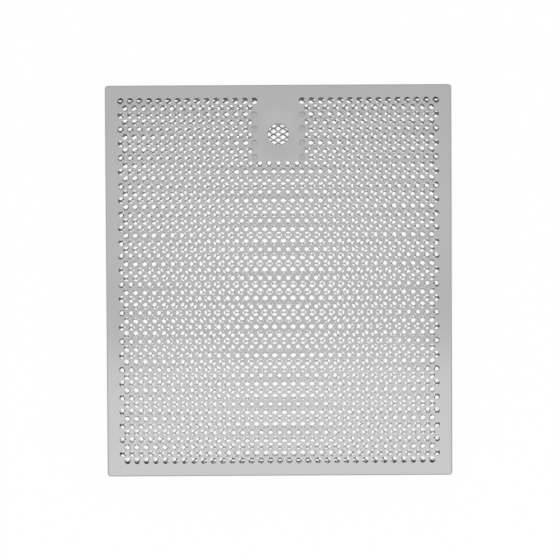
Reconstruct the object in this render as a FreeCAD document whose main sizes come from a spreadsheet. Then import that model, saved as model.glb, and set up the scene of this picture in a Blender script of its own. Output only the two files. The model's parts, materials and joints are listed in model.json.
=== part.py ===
"""Cooker hood grease filter.

A shallow cassette that lies on its back: a perforated front sheet folded into side walls and
return lips, a plate that stiffens its finger hole from behind, and an expanded metal mesh that is
seated on the lips. X runs across the filter, Y from its lower edge to its finger hole, Z from the
plane of the lips to the front face. The origin is the middle of the rear side. Millimetres.
"""
import FreeCAD
import Part
import Sketcher
import math
import os

V = FreeCAD.Vector

# Alias, value, what it measures
DIMENSIONS = [
    ("panel_width", 291.0, "across the outside of the side walls"),
    ("panel_height", 329.0, "from the lower to the upper outside wall"),
    ("panel_depth", 16.0, "from the rear of the lips to the front face"),
    ("sheet", 0.8, "thickness of the folded sheet"),
    ("corner_radius", 3.0, "outside corner of the panel, seen from the front"),
    ("bend_radius", 1.6, "outside of the fold between face and walls"),
    ("lip_width", 7.5, "return lip at the rear, from the outside of the wall"),
    ("lip_corner_radius", 1.5, "corner of the rear opening"),
    ("mitre_gap", 0.6, "slit between two lips at a corner"),
    ("edge_margin", 13.5, "outer edge to the centres of the outermost holes"),
    ("hole_pitch", 8.0, "hole to hole along a row of the punched field"),
    ("row_pitch", 5.92, "row to row of the punched field"),
    ("hole_diameter", 5.5, "one punched hole"),
    ("pattern_step", 3, "the modelled pattern is coarser than the punched one by about this much"),
    ("tab_width", 34.5, "blank field around the finger hole"),
    ("tab_height", 64.0, "blank field, from the upper edge"),
    ("finger_hole", 17.6, "diameter of the finger hole"),
    ("finger_hole_drop", 41.6, "upper edge to the centre of the finger hole"),
    ("plate_overlap", 5.25, "plate behind the finger hole, past the tab on either side"),
    ("plate_height", 44.0, "plate behind the finger hole, along the panel"),
    ("plate_thickness", 1.0, "plate behind the finger hole"),
    ("plate_corner_radius", 2.0, "corner of that plate"),
    ("mesh_clearance", 0.5, "gap between mesh and side wall"),
    ("mesh_thickness", 1.6, "overall thickness of the expanded mesh"),
    ("mesh_border", 6.6, "plain border of the mesh, welded to the lips"),
    ("mesh_pitch", 45.5, "opening to opening along a row of the modelled mesh"),
    ("mesh_row_pitch", 15.4, "row to row of the modelled mesh"),
    ("wide_strand", 7.0, "strand around the openings of every second row"),
    ("narrow_strand", 4.4, "strand around the openings of the rows between"),
]
HOLE_SIDES = 8
ROUNDING = 1e-6


def make_dimensions(doc):
    """Spreadsheet that drives every size."""
    sheet = doc.addObject("Spreadsheet::Sheet", "Dimensions")
    for row, (alias, value, note) in enumerate(DIMENSIONS, start=1):
        sheet.set(f"A{row}", alias)
        sheet.set(f"B{row}", str(value))
        sheet.set(f"C{row}", note)
        sheet.setAlias(f"B{row}", alias)
    doc.recompute()
    return sheet


def bind(item, **expressions):
    """Tie properties of a document object to cells of the spreadsheet."""
    for name, expression in expressions.items():
        item.setExpression(name.replace("__", "."), expression)


def cell(text):
    """Expression in which every alias names its spreadsheet cell."""
    aliases = {alias for alias, _, _ in DIMENSIONS}
    return " ".join(f"Dimensions.{word}" if word in aliases else word for word in text.split())


def new_body(doc, name):
    return doc.addObject("PartDesign::Body", name)


def new_sketch(body, name, level):
    """Sketch on the body's XY plane, lifted to a level given as an expression."""
    sketch = body.newObject("Sketcher::SketchObject", name)
    plane = next(item for item in body.Origin.OriginFeatures if item.Role == "XY_Plane")
    sketch.AttachmentSupport = (plane, "")
    sketch.MapMode = "FlatFace"
    bind(sketch, AttachmentOffset__Base__z=cell(level))
    return sketch


def rounded_rectangle(body, name, level, width, height, radius, middle="0"):
    """Rounded rectangle about X = 0 and Y = middle, with its sizes given as expressions."""
    sketch = new_sketch(body, name, level)
    half, bow = 10.0, 2.0
    inner = half - bow
    sides = [((-inner, -half), (inner, -half)), ((half, -inner), (half, inner)),
             ((inner, half), (-inner, half)), ((-half, inner), (-half, -inner))]
    for (x0, y0), (x1, y1) in sides:
        sketch.addGeometry(Part.LineSegment(V(x0, y0, 0), V(x1, y1, 0)))
    for quarter, (x, y) in enumerate([(inner, -inner), (inner, inner), (-inner, inner), (-inner, -inner)]):
        circle = Part.Circle(V(x, y, 0), V(0, 0, 1), bow)
        start = (quarter - 1) * math.pi / 2
        sketch.addGeometry(Part.ArcOfCircle(circle, start, start + math.pi / 2))
    for side in range(4):
        corner = 4 + side
        sketch.addConstraint(Sketcher.Constraint("Tangent", side, 2, corner, 1))
        sketch.addConstraint(Sketcher.Constraint("Tangent", corner, 2, (side + 1) % 4, 1))
        sketch.addConstraint(Sketcher.Constraint("Horizontal" if side % 2 == 0 else "Vertical", side))
    for corner in range(5, 8):
        sketch.addConstraint(Sketcher.Constraint("Equal", 4, corner))
    named = {
        "width": (Sketcher.Constraint("DistanceX", 3, 1, 1, 1, 2 * half), width),
        "height": (Sketcher.Constraint("DistanceY", 0, 1, 2, 1, 2 * half), height),
        "radius": (Sketcher.Constraint("Radius", 4, bow), radius),
        "right": (Sketcher.Constraint("DistanceX", -1, 1, 1, 1, half), f"( {width} ) / 2"),
        "top": (Sketcher.Constraint("DistanceY", -1, 1, 2, 1, half), f"( {height} ) / 2 + {middle}"),
    }
    for label, (constraint, expression) in named.items():
        sketch.renameConstraint(sketch.addConstraint(constraint), label)
        sketch.setExpression(f"Constraints.{label}", cell(expression))
    return sketch


def circle_sketch(body, name, level, diameter, middle):
    """Circle on X = 0 at Y = middle."""
    sketch = new_sketch(body, name, level)
    sketch.addGeometry(Part.Circle(V(0, 10, 0), V(0, 0, 1), 5))
    sketch.addConstraint(Sketcher.Constraint("PointOnObject", 0, 3, -2))
    named = {
        "diameter": (Sketcher.Constraint("Diameter", 0, 10), diameter),
        "middle": (Sketcher.Constraint("DistanceY", -1, 1, 0, 3, 10), middle),
    }
    for label, (constraint, expression) in named.items():
        sketch.renameConstraint(sketch.addConstraint(constraint), label)
        sketch.setExpression(f"Constraints.{label}", cell(expression))
    return sketch


def pad(body, name, profile, length):
    feature = body.newObject("PartDesign::Pad", name)
    feature.Profile = profile
    bind(feature, Length=cell(length))
    body.Document.recompute()
    return feature


def pocket_up(body, name, profile, length):
    """Cut upwards from the sketch, and make sure that it took material away."""
    before = body.Shape.Volume
    feature = body.newObject("PartDesign::Pocket", name)
    feature.Profile = profile
    feature.Reversed = True
    bind(feature, Length=cell(length))
    body.Document.recompute()
    if body.Shape.Volume >= before:
        raise RuntimeError(f"{name} cut nothing")
    return feature


def round_level_edges(body, name, base, level, radius):
    """Fillet every edge that lies flat at one height."""
    edges = [f"Edge{number}" for number, edge in enumerate(base.Shape.Edges, start=1)
             if all(abs(vertex.Z - level) < ROUNDING for vertex in edge.Vertexes)]
    feature = body.newObject("PartDesign::Fillet", name)
    feature.Base = (base, edges)
    bind(feature, Radius=cell(radius))
    body.Document.recompute()
    return feature


FINGER_HOLE_MIDDLE = "panel_height / 2 - finger_hole_drop"


def make_front_blank(doc, sizes):
    """Folded sheet before it is perforated: face, side walls, return lips and finger hole."""
    body = new_body(doc, "front_blank")
    outline = rounded_rectangle(body, "outline", "0", "panel_width", "panel_height", "corner_radius")
    block = pad(body, "block", outline, "panel_depth")
    round_level_edges(body, "outer_fold", block, sizes.panel_depth, "bend_radius")
    inside = rounded_rectangle(body, "inside", "sheet", "panel_width - 2 * sheet",
                               "panel_height - 2 * sheet", "corner_radius - sheet")
    pocket_up(body, "hollow", inside, "panel_depth - 2 * sheet")
    window = rounded_rectangle(body, "window", "0", "panel_width - 2 * lip_width",
                               "panel_height - 2 * lip_width", "lip_corner_radius")
    pocket_up(body, "rear_window", window, "sheet")
    ring = circle_sketch(body, "finger_ring", "panel_depth - 2 * sheet", "finger_hole", FINGER_HOLE_MIDDLE)
    pocket_up(body, "finger_cut", ring, "3 * sheet")
    return body


def prism(points, bottom, tall):
    outline = Part.makePolygon([V(x, y, bottom) for x, y in points] + [V(*points[0], bottom)])
    return Part.Face(outline).extrude(V(0, 0, tall))


def staggered(pitch, row_pitch, reach_x, reach_y):
    """Places of a centred, staggered pattern, row by row, as (row, x, y) within the two reaches."""
    rows = math.floor(2 * reach_y / row_pitch + ROUNDING) + 1
    for row in range(rows):
        y = ((rows - 1) / 2 - row) * row_pitch
        shift = pitch / 2 if row % 2 == 0 else 0.0
        steps = math.ceil(reach_x / pitch) + 1
        for step in range(-steps, steps + 1):
            x = step * pitch + shift
            if abs(x) <= reach_x + ROUNDING:
                yield row, x, y


def make_perforation(doc, sizes):
    """Punches of the perforated field, which leave the tab around the finger hole blank.

    The pattern is coarser than the punched one, fills the same field and leaves it as open.
    """
    punched = sizes.hole_diameter / 2
    inset = sizes.edge_margin + (sizes.pattern_step - 1) * punched
    reach_x, reach_y = sizes.panel_width / 2 - inset, sizes.panel_height / 2 - inset
    pitch = 2 * reach_x / math.ceil(2 * reach_x / (sizes.pattern_step * sizes.hole_pitch))
    row_pitch = 2 * reach_y / math.ceil(2 * reach_y / (sizes.pattern_step * sizes.row_pitch))
    radius = punched * math.sqrt(pitch * row_pitch / (sizes.hole_pitch * sizes.row_pitch))
    tab_foot = sizes.panel_height / 2 - sizes.tab_height
    below, through = sizes.panel_depth - 2 * sizes.sheet, 3 * sizes.sheet
    corners = [(radius * math.cos(turn), radius * math.sin(turn))
               for turn in (math.tau * (side + 0.5) / HOLE_SIDES for side in range(HOLE_SIDES))]
    punches = []
    for _, x, y in staggered(pitch, row_pitch, reach_x, reach_y):
        if abs(x) < sizes.tab_width / 2 and y > tab_foot:
            continue
        punches.append(prism([(x + dx, y + dy) for dx, dy in corners], below, through))
    return shape_object(doc, "perforation", Part.makeCompound(punches))


def make_mitres(doc, sizes):
    """Slits along the mitred joints of the return lips."""
    wall_x, wall_y = sizes.panel_width / 2 - sizes.sheet, sizes.panel_height / 2 - sizes.sheet
    reach = sizes.lip_width - sizes.sheet + sizes.lip_corner_radius
    short = sizes.corner_radius - sizes.sheet
    across = sizes.mitre_gap / math.sqrt(2)
    slits = []
    for sign_x in (-1, 1):
        for sign_y in (-1, 1):
            near = [(wall_x - short, wall_y - short - across), (wall_x - short, wall_y - short),
                    (wall_x - short - across, wall_y - short)]
            far = [(wall_x - reach - across, wall_y - reach), (wall_x - reach, wall_y - reach),
                   (wall_x - reach, wall_y - reach - across)]
            points = [(sign_x * x, sign_y * y) for x, y in near + far]
            slits.append(prism(points, -sizes.sheet, 2 * sizes.sheet))
    return shape_object(doc, "lip_mitres", Part.makeCompound(slits))


def shape_object(doc, name, shape):
    item = doc.addObject("Part::Feature", name)
    item.Shape = shape
    return item


def cut(doc, name, base, tool):
    item = doc.addObject("Part::Cut", name)
    item.Base = base
    item.Tool = tool
    doc.recompute()
    return item


def make_front_sheet(doc, sizes):
    blank = make_front_blank(doc, sizes)
    folded = cut(doc, "folded_sheet", blank, make_mitres(doc, sizes))
    return cut(doc, "front_sheet", folded, make_perforation(doc, sizes))


def make_finger_hole_plate(doc):
    """Plate welded behind the blank tab, with the same finger hole."""
    body = new_body(doc, "finger_hole_plate")
    level = "panel_depth - sheet - plate_thickness"
    outline = rounded_rectangle(body, "plate_outline", level, "tab_width + 2 * plate_overlap", "plate_height",
                                "plate_corner_radius", FINGER_HOLE_MIDDLE)
    pad(body, "plate", outline, "plate_thickness")
    ring = circle_sketch(body, "plate_ring", level, "finger_hole", FINGER_HOLE_MIDDLE)
    pocket_up(body, "plate_cut", ring, "plate_thickness")
    return body


def make_mesh_openings(doc, sizes, half_x, half_y):
    """Diamonds of the expanded mesh, with rows of large and small openings in turn."""
    pitch, row_pitch = sizes.mesh_pitch, sizes.mesh_row_pitch
    across = 2 * pitch * row_pitch / math.hypot(pitch, 2 * row_pitch)
    large = 1 - sizes.narrow_strand / across
    small = 1 - sizes.wide_strand / across
    diamonds = []
    for row, x, y in staggered(pitch, row_pitch, half_x - large * pitch / 2, half_y - large * row_pitch):
        share = large if row % 2 == 0 else small
        dx, dy = share * pitch / 2, share * row_pitch
        points = [(x - dx, y), (x, y - dy), (x + dx, y), (x, y + dy)]
        diamonds.append(prism(points, 0, 2 * sizes.sheet + sizes.mesh_thickness))
    return shape_object(doc, "mesh_openings", Part.makeCompound(diamonds))


def make_rear_mesh(doc, sizes):
    """Expanded metal sheet that lies on the return lips."""
    inset = sizes.sheet + sizes.mesh_clearance
    body = new_body(doc, "mesh_blank")
    outline = rounded_rectangle(body, "mesh_outline", "sheet",
                                "panel_width - 2 * ( sheet + mesh_clearance )",
                                "panel_height - 2 * ( sheet + mesh_clearance )",
                                "corner_radius - sheet")
    pad(body, "mesh_sheet", outline, "mesh_thickness")
    openings = make_mesh_openings(doc, sizes, sizes.panel_width / 2 - inset - sizes.mesh_border,
                                  sizes.panel_height / 2 - inset - sizes.mesh_border)
    return cut(doc, "rear_mesh", body, openings)


def check(doc, subparts):
    """Stop if any object failed to compute or a sub-part is not one sound solid."""
    for item in doc.Objects:
        if "Invalid" in item.State or "Error" in item.State:
            raise RuntimeError(f"{item.Label} failed to compute")
    for item in subparts:
        shape = item.Shape
        if shape.isNull() or not shape.isValid() or len(shape.Solids) != 1:
            raise RuntimeError(f"{item.Label} is not one valid solid")


def main():
    doc = FreeCAD.newDocument("grease_filter")
    sizes = make_dimensions(doc)
    subparts = [make_front_sheet(doc, sizes), make_finger_hole_plate(doc), make_rear_mesh(doc, sizes)]
    doc.recompute()
    check(doc, subparts)
    os.makedirs("parts", exist_ok=True)
    for item in subparts:
        item.Shape.exportStep(f"parts/{item.Label}.step")
        box = item.Shape.BoundBox
        print(f"{item.Label}: {box.XLength:.2f} x {box.YLength:.2f} x {box.ZLength:.2f} mm, "
              f"{item.Shape.Volume:.0f} mm3, {len(item.Shape.Faces)} faces")


if __name__ == "__main__":
    main()
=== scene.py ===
"""Cooker hood grease filter: perforated steel sheet over expanded metal, lying on its back."""
import json
import math

import bmesh
import bpy
from bpy.props import FloatProperty, FloatVectorProperty, IntProperty, PointerProperty
from mathutils import Matrix, Vector


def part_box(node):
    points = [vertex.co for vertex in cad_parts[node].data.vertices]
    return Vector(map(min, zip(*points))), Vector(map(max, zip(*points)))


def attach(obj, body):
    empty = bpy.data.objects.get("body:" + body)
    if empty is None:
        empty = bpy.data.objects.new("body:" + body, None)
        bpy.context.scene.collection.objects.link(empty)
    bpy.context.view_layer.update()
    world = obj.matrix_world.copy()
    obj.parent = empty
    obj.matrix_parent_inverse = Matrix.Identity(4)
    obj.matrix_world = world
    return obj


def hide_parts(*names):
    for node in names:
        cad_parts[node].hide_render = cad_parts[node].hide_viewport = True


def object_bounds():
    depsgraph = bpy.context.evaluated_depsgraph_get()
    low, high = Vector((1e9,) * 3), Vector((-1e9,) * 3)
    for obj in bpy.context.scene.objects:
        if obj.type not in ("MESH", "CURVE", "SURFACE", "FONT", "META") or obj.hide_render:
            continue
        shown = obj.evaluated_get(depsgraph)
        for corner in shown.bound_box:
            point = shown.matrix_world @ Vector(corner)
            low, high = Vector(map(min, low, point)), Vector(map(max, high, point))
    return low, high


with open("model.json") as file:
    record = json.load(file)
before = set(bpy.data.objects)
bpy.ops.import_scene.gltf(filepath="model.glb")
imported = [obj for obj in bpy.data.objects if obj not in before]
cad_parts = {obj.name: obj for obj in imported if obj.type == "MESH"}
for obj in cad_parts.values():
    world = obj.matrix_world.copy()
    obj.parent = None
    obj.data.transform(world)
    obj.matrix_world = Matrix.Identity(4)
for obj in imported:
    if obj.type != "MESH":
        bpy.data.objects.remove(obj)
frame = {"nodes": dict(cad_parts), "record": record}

bl_info = {
    "name": "Grease Filter",
    "version": (1, 0, 0),
    "blender": (4, 5, 0),
    "location": "3D View > Sidebar > Filter",
    "description": "Builds a perforated cooker hood grease filter around its packed frame",
    "category": "Object",
}

MM = 0.001
CAD_BOX = [list(corner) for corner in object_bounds()]
SHEET_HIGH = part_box("front_sheet")[1]
MESH_LOW, MESH_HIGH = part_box("rear_mesh")
FINGER_HOLE = next(mount for mount in frame["record"]["mounts"] if mount["name"] == "finger_hole")
UP = Vector((0.0, 0.0, 1.0))
WHITE = (1.0, 1.0, 1.0, 1.0)

# Points closer than this are one point.
MERGE = 1e-6
# Share of a row pitch by which the last row of holes may pass its reach.
ROW_SLACK = 1e-3
# An edge whose faces turn by more than this is shaded as sharp.
SHARP_TURN = math.radians(35)
# Painted shade: the strand sides whose normal rises less than the first and points down the panel
# by more than the second get a dark colour for the shade that falls on them.
SHADE_RISE, SHADE_TURN = 0.5, -0.1

# Streaks per metre along X, Y and Z.
SATIN_GRAIN = (30.0, 2600.0, 2600.0)
MILL_GRAIN = (900.0, 40.0, 900.0)
ROLLED_GRAIN = (600.0, 600.0, 600.0)
SHADED_SIDE_GRAIN = (900.0, 900.0, 900.0)
STREAK_DETAIL = 3.0
# Soft blotches per metre, their detail and their share beside the streaks.
BLOTCH_SCALE, BLOTCH_DETAIL, BLOTCH_SHARE = 18.0, 4.0, 0.5
# How far the colour and the roughness stray from their mean.
TONE_SPREAD, GLOSS_SPREAD = 0.03, 0.04
BUMP_STRENGTH, BUMP_DEPTH = 0.04, 0.05 * MM


class FilterSheetSettings(bpy.types.PropertyGroup):
    """Folded and perforated front sheet."""
    sheet: FloatProperty(name="Sheet", description="Thickness of the folded sheet", default=0.8 * MM,
                         unit="LENGTH")
    corner_radius: FloatProperty(name="Corner", description="Outside corner radius seen from the front",
                                 default=3.0 * MM, unit="LENGTH")
    bend_radius: FloatProperty(name="Bend", description="Outside radius of the folds", default=1.6 * MM,
                               unit="LENGTH")
    finger_edge: FloatProperty(name="Finger edge", description="Rounding of the edge of the finger hole",
                               default=0.5 * MM, unit="LENGTH")
    lip_width: FloatProperty(name="Lip", description="Width of the return lips at the rear",
                             default=7.5 * MM, unit="LENGTH")
    lip_corner_radius: FloatProperty(name="Lip corner", description="Corner of the rear opening",
                                     default=1.5 * MM, unit="LENGTH")
    hole_pitch: FloatProperty(name="Hole pitch", description="Hole to hole along a row", default=8.0 * MM,
                              unit="LENGTH")
    row_pitch: FloatProperty(name="Row pitch", description="Row to row", default=5.92 * MM, unit="LENGTH")
    hole_diameter: FloatProperty(name="Hole", description="Diameter of a punched hole", default=5.5 * MM,
                                 unit="LENGTH")
    edge_margin: FloatProperty(name="Margin", description="Outer edge to the outermost hole centres",
                               default=13.5 * MM, unit="LENGTH")
    tab_width: FloatProperty(name="Tab width", description="Width of the blank tab", default=34.5 * MM,
                             unit="LENGTH")
    tab_height: FloatProperty(name="Tab height", description="Blank tab, from the upper edge",
                              default=64.0 * MM, unit="LENGTH")
    hole_sides: IntProperty(name="Hole sides", description="Flats around a punched hole", default=16, min=6)
    corner_steps: IntProperty(name="Corner steps", description="Flats around a corner of the panel",
                              default=7, min=3)
    bend_steps: IntProperty(name="Bend steps", description="Flats across a fold", default=5, min=2)
    finger_sides: IntProperty(name="Finger sides", description="Flats around the finger hole",
                              default=48, min=8)
    finger_steps: IntProperty(name="Finger steps", description="Flats across the edge of the finger hole",
                              default=3, min=1)


class FilterMeshSettings(bpy.types.PropertyGroup):
    """Expanded metal behind the sheet."""
    pitch: FloatProperty(name="Pitch", description="Opening to opening along a row", default=8.0 * MM,
                         unit="LENGTH")
    row_pitch: FloatProperty(name="Row pitch", description="Opening to opening across the rows",
                             default=4.957 * MM, unit="LENGTH")
    large_opening: FloatVectorProperty(name="Large opening", size=2, unit="LENGTH",
                                       description="Width and height of a large opening",
                                       default=(4.6 * MM, 4.5 * MM))
    small_opening: FloatVectorProperty(name="Small opening", size=2, unit="LENGTH",
                                       description="Width and height of a small opening",
                                       default=(3.6 * MM, 3.9 * MM))
    large_share: FloatProperty(name="Large share", subtype="FACTOR", default=0.94, min=0.1, max=0.99,
                               description="Slanted sides of a large opening in its diamond")
    small_share: FloatProperty(name="Small share", subtype="FACTOR", default=0.87, min=0.1, max=0.99,
                               description="Slanted sides of a small opening in its diamond")
    border: FloatProperty(name="Border", description="Plain edge left outside the outermost strands",
                          default=2.0 * MM, unit="LENGTH")
    corner_radius: FloatProperty(name="Corner", description="Corner of the mesh", default=2.2 * MM,
                                 unit="LENGTH")
    corner_steps: IntProperty(name="Corner steps", description="Flats around a corner of the mesh",
                              default=4, min=2)
    strand: FloatProperty(name="Strand", description="Height of a strand on its edge", default=3.4 * MM,
                          unit="LENGTH")
    lean: FloatProperty(name="Lean", description="Rise of a strand from its middle to one side",
                        default=0.15 * MM, unit="LENGTH")


class FilterFinishSettings(bpy.types.PropertyGroup):
    """Colours and gloss of the metals, with a dark painted shade for the strand sides facing down."""
    front_colour: FloatVectorProperty(name="Front", description="Satin steel of the front sheet",
                                      subtype="COLOR", size=3, default=(0.445, 0.445, 0.445))
    front_roughness: FloatProperty(name="Front roughness", description="Gloss of the front sheet",
                                   default=0.2, subtype="FACTOR", min=0.0, max=1.0)
    plate_colour: FloatVectorProperty(name="Plate", description="Steel of the finger hole plate",
                                      subtype="COLOR", size=3, default=(0.5, 0.5, 0.5))
    plate_roughness: FloatProperty(name="Plate roughness", description="Gloss of the finger hole plate",
                                   default=0.6, subtype="FACTOR", min=0.0, max=1.0)
    mesh_colour: FloatVectorProperty(name="Mesh", description="Aluminium of the expanded mesh",
                                     subtype="COLOR", size=3, default=(0.87, 0.87, 0.873))
    mesh_roughness: FloatProperty(name="Mesh roughness", description="Gloss of the expanded mesh",
                                  default=0.57, subtype="FACTOR", min=0.0, max=1.0)
    # Painted shade: this dark copy of the mesh's aluminium goes on the strand sides that face down the
    # panel and stands for the shade that falls on them.
    painted_shade_colour: FloatVectorProperty(name="Shaded side", subtype="COLOR", size=3,
                                        description="Dull side of a strand that the knife cut",
                                        default=(0.24, 0.24, 0.24))
    shaded_side_roughness: FloatProperty(name="Shaded roughness", description="Gloss of the sheared sides",
                                     default=0.7, subtype="FACTOR", min=0.0, max=1.0)


class FilterStageSettings(bpy.types.PropertyGroup):
    """Floor, light and camera."""
    camera_height: FloatProperty(name="Camera height", description="Camera above the front face",
                                 default=434.5 * MM, unit="LENGTH")
    view_width: FloatProperty(name="View width", description="Width of the view on the front face",
                              default=469.8 * MM, unit="LENGTH")
    camera_side: FloatVectorProperty(name="Camera offset", description="Camera across and along the panel",
                                     size=2, subtype="XYZ", default=(0.84 * MM, 4.1 * MM))
    camera_tilt: FloatProperty(name="Tilt", description="Lean of the camera along the panel",
                               default=math.radians(-0.448), subtype="ANGLE")
    camera_roll: FloatProperty(name="Roll", description="Turn of the camera about its own axis",
                               default=math.radians(-0.296), subtype="ANGLE")
    floor_size: FloatProperty(name="Floor", description="Side of the square floor", default=6.0,
                              unit="LENGTH")
    floor_gap: FloatProperty(name="Floor gap", description="Room between the floor and the lips",
                             default=0.2 * MM, unit="LENGTH")
    floor_glow: FloatProperty(name="Floor glow", description="Share of plain white seen on the floor",
                              default=0.93, subtype="FACTOR", min=0.0, max=1.0)
    band_heights: FloatVectorProperty(name="Band heights", size=3, default=(0.26, 0.42, 0.7),
                                      description="Sine of the start, middle and end of the grey band")
    band_tone: FloatProperty(name="Band", description="Grey of the band above the walls of the studio",
                             default=0.55, subtype="FACTOR", min=0.0, max=1.0)
    softbox_width: FloatProperty(name="Softbox width", description="Width of both softboxes", default=2.4,
                                 unit="LENGTH")
    softbox_height: FloatProperty(name="Softbox height", description="Height at which both softboxes hang",
                                  default=1.5, unit="LENGTH")
    front_span: FloatVectorProperty(name="Front softbox", size=2, unit="LENGTH", default=(-1.5, -0.29),
                                    description="Start and end of the front softbox along the panel")
    front_energy: FloatProperty(name="Front energy", description="Power of the front softbox", default=3.09,
                                unit="POWER")
    back_span: FloatVectorProperty(name="Back softbox", size=2, unit="LENGTH", default=(0.0, 0.5),
                                   description="Start and end of the back softbox along the panel")
    back_energy: FloatProperty(name="Back energy", description="Power of the back softbox", default=0.28,
                               unit="POWER")


def new_piece(name, bm, materials, node):
    """Turn a bmesh into a finished piece that stands for a node of the frame."""
    for face in bm.faces:
        face.smooth = True
    for edge in bm.edges:
        edge.smooth = edge.calc_face_angle(math.pi) < SHARP_TURN
    mesh = bpy.data.meshes.new(name)
    bm.to_mesh(mesh)
    bm.free()
    for material in materials:
        mesh.materials.append(material)
    piece = bpy.data.objects.new(name, mesh)
    bpy.context.scene.collection.objects.link(piece)
    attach(piece, "root")
    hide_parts(node)


def verts_of(geom):
    """Vertices among the geometry that an operator made."""
    return [item for item in geom if isinstance(item, bmesh.types.BMVert)]


def add_loop(bm, points):
    """Closed loop of edges through a few points."""
    verts = [bm.verts.new(point) for point in points]
    return [bm.edges.new(pair) for pair in zip(verts, verts[1:] + verts[:1])]


def add_rim(bm, sides, radius, middle_y=0.0):
    """Round rim of an opening, with its edges marked as seams."""
    place = Matrix.Translation((0.0, middle_y, 0.0)) @ Matrix.Rotation(math.pi / sides, 4, "Z")
    verts = bmesh.ops.create_circle(bm, cap_ends=False, segments=sides, radius=radius,
                                    matrix=place)["verts"]
    edges = list({edge for vert in verts for edge in vert.link_edges})
    for edge in edges:
        edge.seam = True
    return edges


def fill_between(bm, edges):
    """Fill the flat sheet between closed loops of edges."""
    bmesh.ops.triangle_fill(bm, use_beauty=True, use_dissolve=False, edges=edges, normal=UP)


def row_mesh(cell, count, pitch):
    """Mesh of a row of cells, the first one at the origin."""
    row = cell.copy()
    first = [*row.verts, *row.edges, *row.faces]
    for column in range(1, count):
        copy = bmesh.ops.duplicate(row, geom=first)["geom"]
        bmesh.ops.translate(row, verts=verts_of(copy), vec=Vector((column * pitch, 0.0, 0.0)))
    mesh = bpy.data.meshes.new("row")
    row.to_mesh(mesh)
    row.free()
    return mesh


def add_rows(bm, cell, places, pitch):
    """Add rows of a cell to a bmesh; places gives the leftmost centre and the count of each row."""
    rows = {}
    for x, y, count in places:
        if count not in rows:
            rows[count] = row_mesh(cell, count, pitch)
        row = rows[count].copy()
        row.transform(Matrix.Translation((x, y, 0.0)))
        bm.from_mesh(row)
        bpy.data.meshes.remove(row)
    for row in rows.values():
        bpy.data.meshes.remove(row)
    cell.free()
    bmesh.ops.remove_doubles(bm, verts=bm.verts, dist=MERGE)


def open_outline(bm):
    """Boundary edges that aren't the rim of an opening."""
    return [edge for edge in bm.edges if edge.is_boundary and not edge.seam]


def add_rounded_outline(bm, half_x, half_y, radius, steps):
    """Loop of edges around a rounded rectangle."""
    others = set(bm.edges)
    verts = bmesh.ops.create_grid(bm, x_segments=1, y_segments=1, size=1.0)["verts"]
    bmesh.ops.scale(bm, verts=verts, vec=Vector((half_x, half_y, 1.0)))
    bmesh.ops.bevel(bm, geom=verts, affect="VERTICES", offset=radius, offset_type="OFFSET", segments=steps,
                    profile=0.5, material=-1)
    edges = [edge for edge in bm.edges if edge not in others]
    bmesh.ops.delete(bm, geom=[edges[0].link_faces[0]], context="FACES_ONLY")
    return edges


def offset_corners(bm, verts, half_x, half_y, radius, new_radius, inset=0.0):
    """Bring the corners of a rounded outline to a new radius and move each one inwards by an inset."""
    growth = new_radius / radius
    for sign_x in (-1, 1):
        for sign_y in (-1, 1):
            corner = [vert for vert in verts if vert.co.x * sign_x > 0 and vert.co.y * sign_y > 0]
            middle = Vector((sign_x * (half_x - radius), sign_y * (half_y - radius), 0.0))
            bmesh.ops.scale(bm, verts=corner, vec=Vector((growth, growth, 1.0)),
                            space=Matrix.Translation(-middle))
            bmesh.ops.translate(bm, verts=corner, vec=Vector((-sign_x * inset, -sign_y * inset, 0.0)))


def fold_on(bm, edges, half_x, half_y, radius, new_radius, height):
    """Extrude a rounded outline, offset it to a new corner radius and bring it to a new height."""
    made = bmesh.ops.extrude_edge_only(bm, edges=edges)["geom"]
    old = {vert for edge in edges for vert in edge.verts}
    verts = verts_of(made)
    bmesh.ops.translate(bm, verts=verts, vec=UP * (height - verts[0].co.z))
    offset_corners(bm, verts, half_x, half_y, radius, new_radius)
    return [item for item in made
            if isinstance(item, bmesh.types.BMEdge) and not old.intersection(item.verts)]


def fold_profile(settings, depth):
    """Offsets and heights of the front fold, the wall and the rear fold, from the face down."""
    bend, steps = settings.bend_radius, settings.bend_steps
    turns = [math.pi / 2 * step / steps for step in range(steps + 1)]
    front = [(bend * math.sin(turn), depth - bend + bend * math.cos(turn)) for turn in turns[1:]]
    return front + [(bend * math.cos(turn), bend - bend * math.sin(turn)) for turn in turns]


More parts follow.
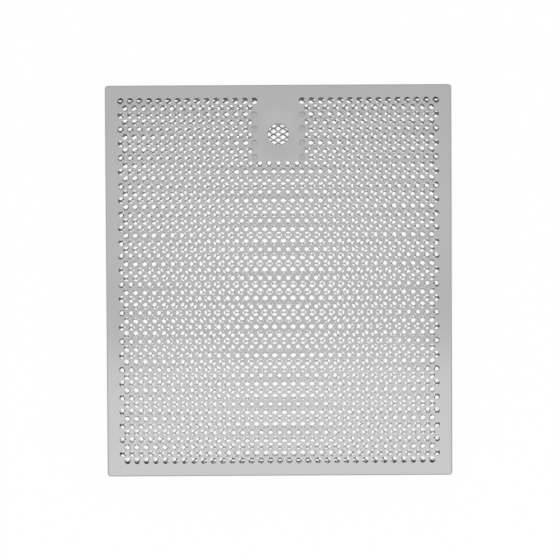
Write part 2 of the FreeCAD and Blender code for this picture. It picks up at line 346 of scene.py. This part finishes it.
def metal(name, colour, roughness, grain):
    """Metal with a fine rolled grain, soft blotches and a faint bump; grain is the streaks' stretch."""
    material = bpy.data.materials.new(name)
    material.use_nodes = True
    nodes, links = material.node_tree.nodes, material.node_tree.links
    shader = nodes["Principled BSDF"]
    shader.inputs["Metallic"].default_value = 1.0
    place = nodes.new("ShaderNodeTexCoord")
    stretch = nodes.new("ShaderNodeMapping")
    stretch.inputs["Scale"].default_value = grain
    links.new(place.outputs["Object"], stretch.inputs["Vector"])
    streaks = nodes.new("ShaderNodeTexNoise")
    streaks.inputs["Scale"].default_value = 1.0
    streaks.inputs["Detail"].default_value = STREAK_DETAIL
    links.new(stretch.outputs["Vector"], streaks.inputs["Vector"])
    blotches = nodes.new("ShaderNodeTexNoise")
    blotches.inputs["Scale"].default_value = BLOTCH_SCALE
    blotches.inputs["Detail"].default_value = BLOTCH_DETAIL
    links.new(place.outputs["Object"], blotches.inputs["Vector"])
    both = nodes.new("ShaderNodeMix")
    both.data_type = "FLOAT"
    both.inputs["Factor"].default_value = BLOTCH_SHARE
    links.new(streaks.outputs["Fac"], both.inputs["A"])
    links.new(blotches.outputs["Fac"], both.inputs["B"])
    tone = nodes.new("ShaderNodeMix")
    tone.data_type = "RGBA"
    tone.inputs["A"].default_value = (*(part * (1 - TONE_SPREAD) for part in colour), 1.0)
    tone.inputs["B"].default_value = (*(part * (1 + TONE_SPREAD) for part in colour), 1.0)
    links.new(both.outputs["Result"], tone.inputs["Factor"])
    links.new(tone.outputs["Result"], shader.inputs["Base Color"])
    gloss = nodes.new("ShaderNodeMapRange")
    gloss.inputs["To Min"].default_value = roughness - GLOSS_SPREAD
    gloss.inputs["To Max"].default_value = roughness + GLOSS_SPREAD
    links.new(both.outputs["Result"], gloss.inputs["Value"])
    links.new(gloss.outputs["Result"], shader.inputs["Roughness"])
    bump = nodes.new("ShaderNodeBump")
    bump.inputs["Strength"].default_value = BUMP_STRENGTH
    bump.inputs["Distance"].default_value = BUMP_DEPTH
    links.new(streaks.outputs["Fac"], bump.inputs["Height"])
    links.new(bump.outputs["Normal"], shader.inputs["Normal"])
    return material


class FILTER_OT_front_sheet(bpy.types.Operator):
    """Fold and punch the front sheet"""
    bl_idname = "filter.front_sheet"
    bl_label = "Front Sheet"

    def execute(self, context):
        settings, finish = context.scene.filter_sheet, context.scene.filter_finish
        half_x, half_y, depth = SHEET_HIGH.x, SHEET_HIGH.y, SHEET_HIGH.z
        bm = bmesh.new()
        rows = list(self.hole_rows(settings, half_x, half_y))
        add_rows(bm, self.hole_cell(settings), rows, settings.hole_pitch)
        field = open_outline(bm)
        finger_radius = FINGER_HOLE["dims"]["r_mm"] * MM
        finger = add_rim(bm, settings.finger_sides, finger_radius, FINGER_HOLE["pos_m"][1])
        bend, radius = settings.bend_radius, settings.corner_radius - settings.bend_radius
        inner_x, inner_y = half_x - bend, half_y - bend
        edges = add_rounded_outline(bm, inner_x, inner_y, radius, settings.corner_steps)
        fill_between(bm, field + finger + edges)
        bmesh.ops.translate(bm, verts=bm.verts, vec=UP * depth)
        before = 0.0
        for offset, height in fold_profile(settings, depth):
            edges = fold_on(bm, edges, inner_x + before, inner_y + before, radius + before,
                            radius + offset, height)
            before = offset
        self.fold_lips(bm, edges, settings, inner_x, inner_y, radius)
        bmesh.ops.recalc_face_normals(bm, faces=bm.faces)
        bmesh.ops.solidify(bm, geom=list(bm.faces), thickness=settings.sheet)
        self.round_finger_hole(bm, settings, depth, finger_radius)
        steel = metal("satin_steel", finish.front_colour, finish.front_roughness, SATIN_GRAIN)
        new_piece("perforated_front", bm, [steel], "front_sheet")
        return {"FINISHED"}

    @staticmethod
    def round_finger_hole(bm, settings, depth, radius):
        """Round the front edge of the finger hole for the fingertip."""
        middle = Vector((0.0, FINGER_HOLE["pos_m"][1], depth))
        rim = [edge for edge in bm.edges
               if all(abs((vert.co - middle).length - radius) < MERGE and abs(vert.co.z - depth) < MERGE
                      for vert in edge.verts)]
        bmesh.ops.bevel(bm, geom=rim, affect="EDGES", offset=settings.finger_edge, offset_type="OFFSET",
                        segments=settings.finger_steps, profile=0.5, material=-1)

    @staticmethod
    def hole_cell(settings):
        """One hole in its brick of sheet; the bricks of the next row meet it at half a pitch."""
        cell = bmesh.new()
        brick = add_loop(cell, [Vector((x * settings.hole_pitch / 2, y * settings.row_pitch / 2, 0.0))
                                for x, y in [(-1, -1), (0, -1), (1, -1), (1, 1), (0, 1), (-1, 1)]])
        fill_between(cell, brick + add_rim(cell, settings.hole_sides, settings.hole_diameter / 2))
        return cell

    @staticmethod
    def hole_rows(settings, half_x, half_y):
        """Leftmost centre, height and count of each run of holes, around the blank tab."""
        pitch, row_pitch = settings.hole_pitch, settings.row_pitch
        radius = settings.hole_diameter / 2
        reach_x, reach_y = half_x - settings.edge_margin, half_y - settings.edge_margin
        across = round(2 * reach_x / pitch)
        rows = int(2 * reach_y / row_pitch + ROW_SLACK) + 1
        tab_foot = half_y - settings.tab_height
        for row in range(rows):
            y = ((rows - 1) / 2 - row) * row_pitch
            count = across + 1 - row % 2
            left = -(count - 1) / 2 * pitch
            if y + radius <= tab_foot:
                yield left, y, count
                continue
            clear = sum(1 for column in range(count)
                        if left + column * pitch + radius <= -settings.tab_width / 2)
            yield left, y, clear
            yield -left - (clear - 1) * pitch, y, clear

    @staticmethod
    def fold_lips(bm, edges, settings, half_x, half_y, radius):
        """Turn the lips inwards and slit them along the mitre of each corner."""
        made = bmesh.ops.extrude_edge_only(bm, edges=edges)["geom"]
        inset = settings.lip_width - settings.bend_radius + settings.lip_corner_radius - radius
        offset_corners(bm, verts_of(made), half_x, half_y, radius, settings.lip_corner_radius, inset)
        faces = [item for item in made if isinstance(item, bmesh.types.BMFace)]
        reach = {face: sum(abs(part) for part in face.calc_center_median().xy) for face in faces}
        outermost = max(reach.values())
        mitres = [face for face in faces if reach[face] > outermost - MERGE]
        bmesh.ops.delete(bm, geom=mitres, context="FACES")


class FILTER_OT_finger_plate(bpy.types.Operator):
    """Finish the plate behind the finger hole"""
    bl_idname = "filter.finger_plate"
    bl_label = "Finger Hole Plate"

    def execute(self, context):
        finish = context.scene.filter_finish
        plate = frame["nodes"]["finger_hole_plate"]
        plate.data.materials.clear()
        steel = metal("mill_steel", finish.plate_colour, finish.plate_roughness, MILL_GRAIN)
        plate.data.materials.append(steel)
        return {"FINISHED"}


class FILTER_OT_rear_mesh(bpy.types.Operator):
    """Expand the metal mesh behind the sheet"""
    bl_idname = "filter.rear_mesh"
    bl_label = "Rear Mesh"

    def execute(self, context):
        settings, finish = context.scene.filter_mesh, context.scene.filter_finish
        bm = bmesh.new()
        self.lay_diamonds(bm, settings)
        field = open_outline(bm)
        outline = add_rounded_outline(bm, MESH_HIGH.x, MESH_HIGH.y, settings.corner_radius,
                                      settings.corner_steps)
        fill_between(bm, field + outline)
        bmesh.ops.translate(bm, verts=bm.verts, vec=UP * (MESH_LOW.z + settings.lean))
        made = bmesh.ops.extrude_face_region(bm, geom=list(bm.faces), use_keep_orig=True)["geom"]
        bmesh.ops.translate(bm, verts=verts_of(made), vec=UP * settings.strand)
        bmesh.ops.recalc_face_normals(bm, faces=bm.faces)
        # Painted shade: the strand sides that face down the panel get the dark second material, which
        # stands for the shade that falls on them.
        for face in bm.faces:
            face.material_index = int(abs(face.normal.z) < SHADE_RISE and face.normal.y < SHADE_TURN)
        rolled = metal("rolled_aluminium", finish.mesh_colour, finish.mesh_roughness, ROLLED_GRAIN)
        painted_shade = metal("painted_shade_aluminium", finish.painted_shade_colour, finish.shaded_side_roughness, SHADED_SIDE_GRAIN)
        new_piece("expanded_mesh", bm, [rolled, painted_shade], "rear_mesh")
        return {"FINISHED"}

    def lay_diamonds(self, bm, settings):
        """Lay the large openings, and the small ones half a pitch from them, inside the border."""
        pitch, row_pitch = settings.pitch, settings.row_pitch
        reach_x, reach_y = MESH_HIGH.x - settings.border, MESH_HIGH.y - settings.border
        openings = ((settings.large_opening, settings.large_share, 0.5, 0.0),
                    (settings.small_opening, settings.small_share, 0.0, 0.5))
        for opening, share, shift_x, shift_y in openings:
            columns = int((reach_x - pitch / 2 + MERGE) / pitch - shift_x)
            rows = int((reach_y - row_pitch / 2 + MERGE) / row_pitch - shift_y)
            left, foot = -(columns + shift_x) * pitch, -(rows + shift_y) * row_pitch
            across, along = round(-2 * left / pitch) + 1, round(-2 * foot / row_pitch) + 1
            places = [(left, foot + row * row_pitch, across) for row in range(along)]
            add_rows(bm, self.diamond_cell(settings, opening, share), places, pitch)

    @staticmethod
    def diamond_cell(settings, opening, share):
        """One diamond of leaning strands; its opening is the diamond's share with its four tips cut off."""
        cell = bmesh.new()
        tip_x, tip_y = settings.pitch / 2, settings.row_pitch / 2
        tips = ((-tip_x, 0.0, 0.0), (0.0, -tip_y, 0.0), (tip_x, 0.0, 0.0), (0.0, tip_y, 0.0))
        diamond = add_loop(cell, [Vector(tip) for tip in tips])
        side_x, top_y = opening[0] / 2, opening[1] / 2
        side_y, top_x = tip_y * (share - side_x / tip_x), tip_x * (share - top_y / tip_y)
        corners = [(side_x, side_y), (top_x, top_y), (-top_x, top_y), (-side_x, side_y)]
        rim = add_loop(cell, [Vector((x, y, 0.0)) for x, y in corners + [(-x, -y) for x, y in corners]])
        for edge in rim:
            edge.seam = True
        fill_between(cell, diamond + rim)
        for vert in {vert for edge in rim for vert in edge.verts}:
            vert.co.z = math.copysign(settings.lean, -vert.co.y)
        return cell


class FILTER_OT_stage(bpy.types.Operator):
    """Lay the floor and set the light and the camera"""
    bl_idname = "filter.stage"
    bl_label = "Stage"

    def execute(self, context):
        stage = context.scene.filter_stage
        self.floor(context.scene, stage)
        self.world(context.scene, stage)
        self.lamps(context.scene, stage)
        self.camera(context.scene, stage)
        context.scene.view_settings.view_transform = "Standard"
        return {"FINISHED"}

    @staticmethod
    def seen(nodes, links):
        """Light path value that is 1 for what the camera sees, directly or in metal."""
        path = nodes.new("ShaderNodeLightPath")
        first = nodes.new("ShaderNodeMath")
        first.operation = "MAXIMUM"
        links.new(path.outputs["Is Camera Ray"], first.inputs[0])
        links.new(path.outputs["Is Glossy Ray"], first.inputs[1])
        second = nodes.new("ShaderNodeMath")
        second.operation = "MAXIMUM"
        links.new(first.outputs[0], second.inputs[0])
        links.new(path.outputs["Is Transmission Ray"], second.inputs[1])
        return second.outputs[0]

    def floor(self, scene, stage):
        """White floor that is seen as plain white and keeps the filter's shadow."""
        bm = bmesh.new()
        bmesh.ops.create_grid(bm, x_segments=1, y_segments=1, size=stage.floor_size / 2)
        bmesh.ops.translate(bm, verts=bm.verts, vec=UP * (CAD_BOX[0][2] - stage.floor_gap))
        mesh = bpy.data.meshes.new("floor")
        bm.to_mesh(mesh)
        bm.free()
        floor = bpy.data.objects.new("floor", mesh)
        scene.collection.objects.link(floor)
        material = bpy.data.materials.new("white_floor")
        material.use_nodes = True
        nodes, links = material.node_tree.nodes, material.node_tree.links
        nodes.clear()
        paint = nodes.new("ShaderNodeBsdfDiffuse")
        paint.inputs["Color"].default_value = WHITE
        glow = nodes.new("ShaderNodeEmission")
        share = nodes.new("ShaderNodeMath")
        share.operation = "MULTIPLY"
        share.inputs[1].default_value = stage.floor_glow
        links.new(self.seen(nodes, links), share.inputs[0])
        mix = nodes.new("ShaderNodeMixShader")
        links.new(share.outputs[0], mix.inputs[0])
        links.new(paint.outputs[0], mix.inputs[1])
        links.new(glow.outputs[0], mix.inputs[2])
        output = nodes.new("ShaderNodeOutputMaterial")
        links.new(mix.outputs[0], output.inputs["Surface"])
        mesh.materials.append(material)

    @staticmethod
    def world(scene, stage):
        """White studio with a soft grey band above its walls, in which the folds of the metal show."""
        world = bpy.data.worlds.new("studio")
        world.use_nodes = True
        nodes, links = world.node_tree.nodes, world.node_tree.links
        place = nodes.new("ShaderNodeTexCoord")
        height = nodes.new("ShaderNodeSeparateXYZ")
        links.new(place.outputs["Generated"], height.inputs["Vector"])
        tone = nodes.new("ShaderNodeValToRGB")
        tone.color_ramp.elements[0].color = WHITE
        for spot, level in zip(stage.band_heights, (1.0, stage.band_tone, 1.0)):
            tone.color_ramp.elements.new(spot).color = (level, level, level, 1.0)
        links.new(height.outputs["Z"], tone.inputs["Fac"])
        links.new(tone.outputs["Color"], nodes["Background"].inputs["Color"])
        scene.world = world

    @staticmethod
    def lamps(scene, stage):
        """Two level softboxes above the panel, the stronger one towards its lower edge."""
        softboxes = (("softbox_front", stage.front_span, stage.front_energy),
                     ("softbox_back", stage.back_span, stage.back_energy))
        for name, (foot, head), energy in softboxes:
            lamp = bpy.data.lights.new(name, "AREA")
            lamp.shape = "RECTANGLE"
            lamp.size, lamp.size_y = stage.softbox_width, head - foot
            lamp.energy = energy
            softbox = bpy.data.objects.new(name, lamp)
            softbox.location = (0.0, (foot + head) / 2, stage.softbox_height)
            scene.collection.objects.link(softbox)

    @staticmethod
    def camera(scene, stage):
        """Camera above the panel, with a lens that gives the view its width on the front face."""
        data = bpy.data.cameras.new("camera")
        data.lens = data.sensor_width * stage.camera_height / stage.view_width
        data.clip_start = 10 * MM
        camera = bpy.data.objects.new("camera", data)
        camera.location = (*stage.camera_side, SHEET_HIGH.z + stage.camera_height)
        camera.rotation_euler = (stage.camera_tilt, 0.0, stage.camera_roll)
        scene.collection.objects.link(camera)
        scene.camera = camera


class FILTER_PT_panel(bpy.types.Panel):
    """Lists the steps that build the filter"""
    bl_idname = "FILTER_PT_panel"
    bl_label = "Grease Filter"
    bl_space_type = "VIEW_3D"
    bl_region_type = "UI"
    bl_category = "Filter"

    def draw(self, context):
        for step in STEPS:
            self.layout.operator(step.bl_idname)


STEPS = (FILTER_OT_front_sheet, FILTER_OT_finger_plate, FILTER_OT_rear_mesh, FILTER_OT_stage)
SETTINGS = {
    "filter_sheet": FilterSheetSettings,
    "filter_mesh": FilterMeshSettings,
    "filter_finish": FilterFinishSettings,
    "filter_stage": FilterStageSettings,
}


def register():
    for group in SETTINGS.values():
        bpy.utils.register_class(group)
    for name, group in SETTINGS.items():
        setattr(bpy.types.Scene, name, PointerProperty(type=group))
    for step in (*STEPS, FILTER_PT_panel):
        bpy.utils.register_class(step)


def unregister():
    for step in reversed((*STEPS, FILTER_PT_panel)):
        bpy.utils.unregister_class(step)
    for name, group in SETTINGS.items():
        delattr(bpy.types.Scene, name)
        bpy.utils.unregister_class(group)


def main():
    """Build the filter and its stage."""
    register()
    bpy.ops.filter.front_sheet()
    bpy.ops.filter.finger_plate()
    bpy.ops.filter.rear_mesh()
    bpy.ops.filter.stage()


if __name__ == "__main__":
    main()
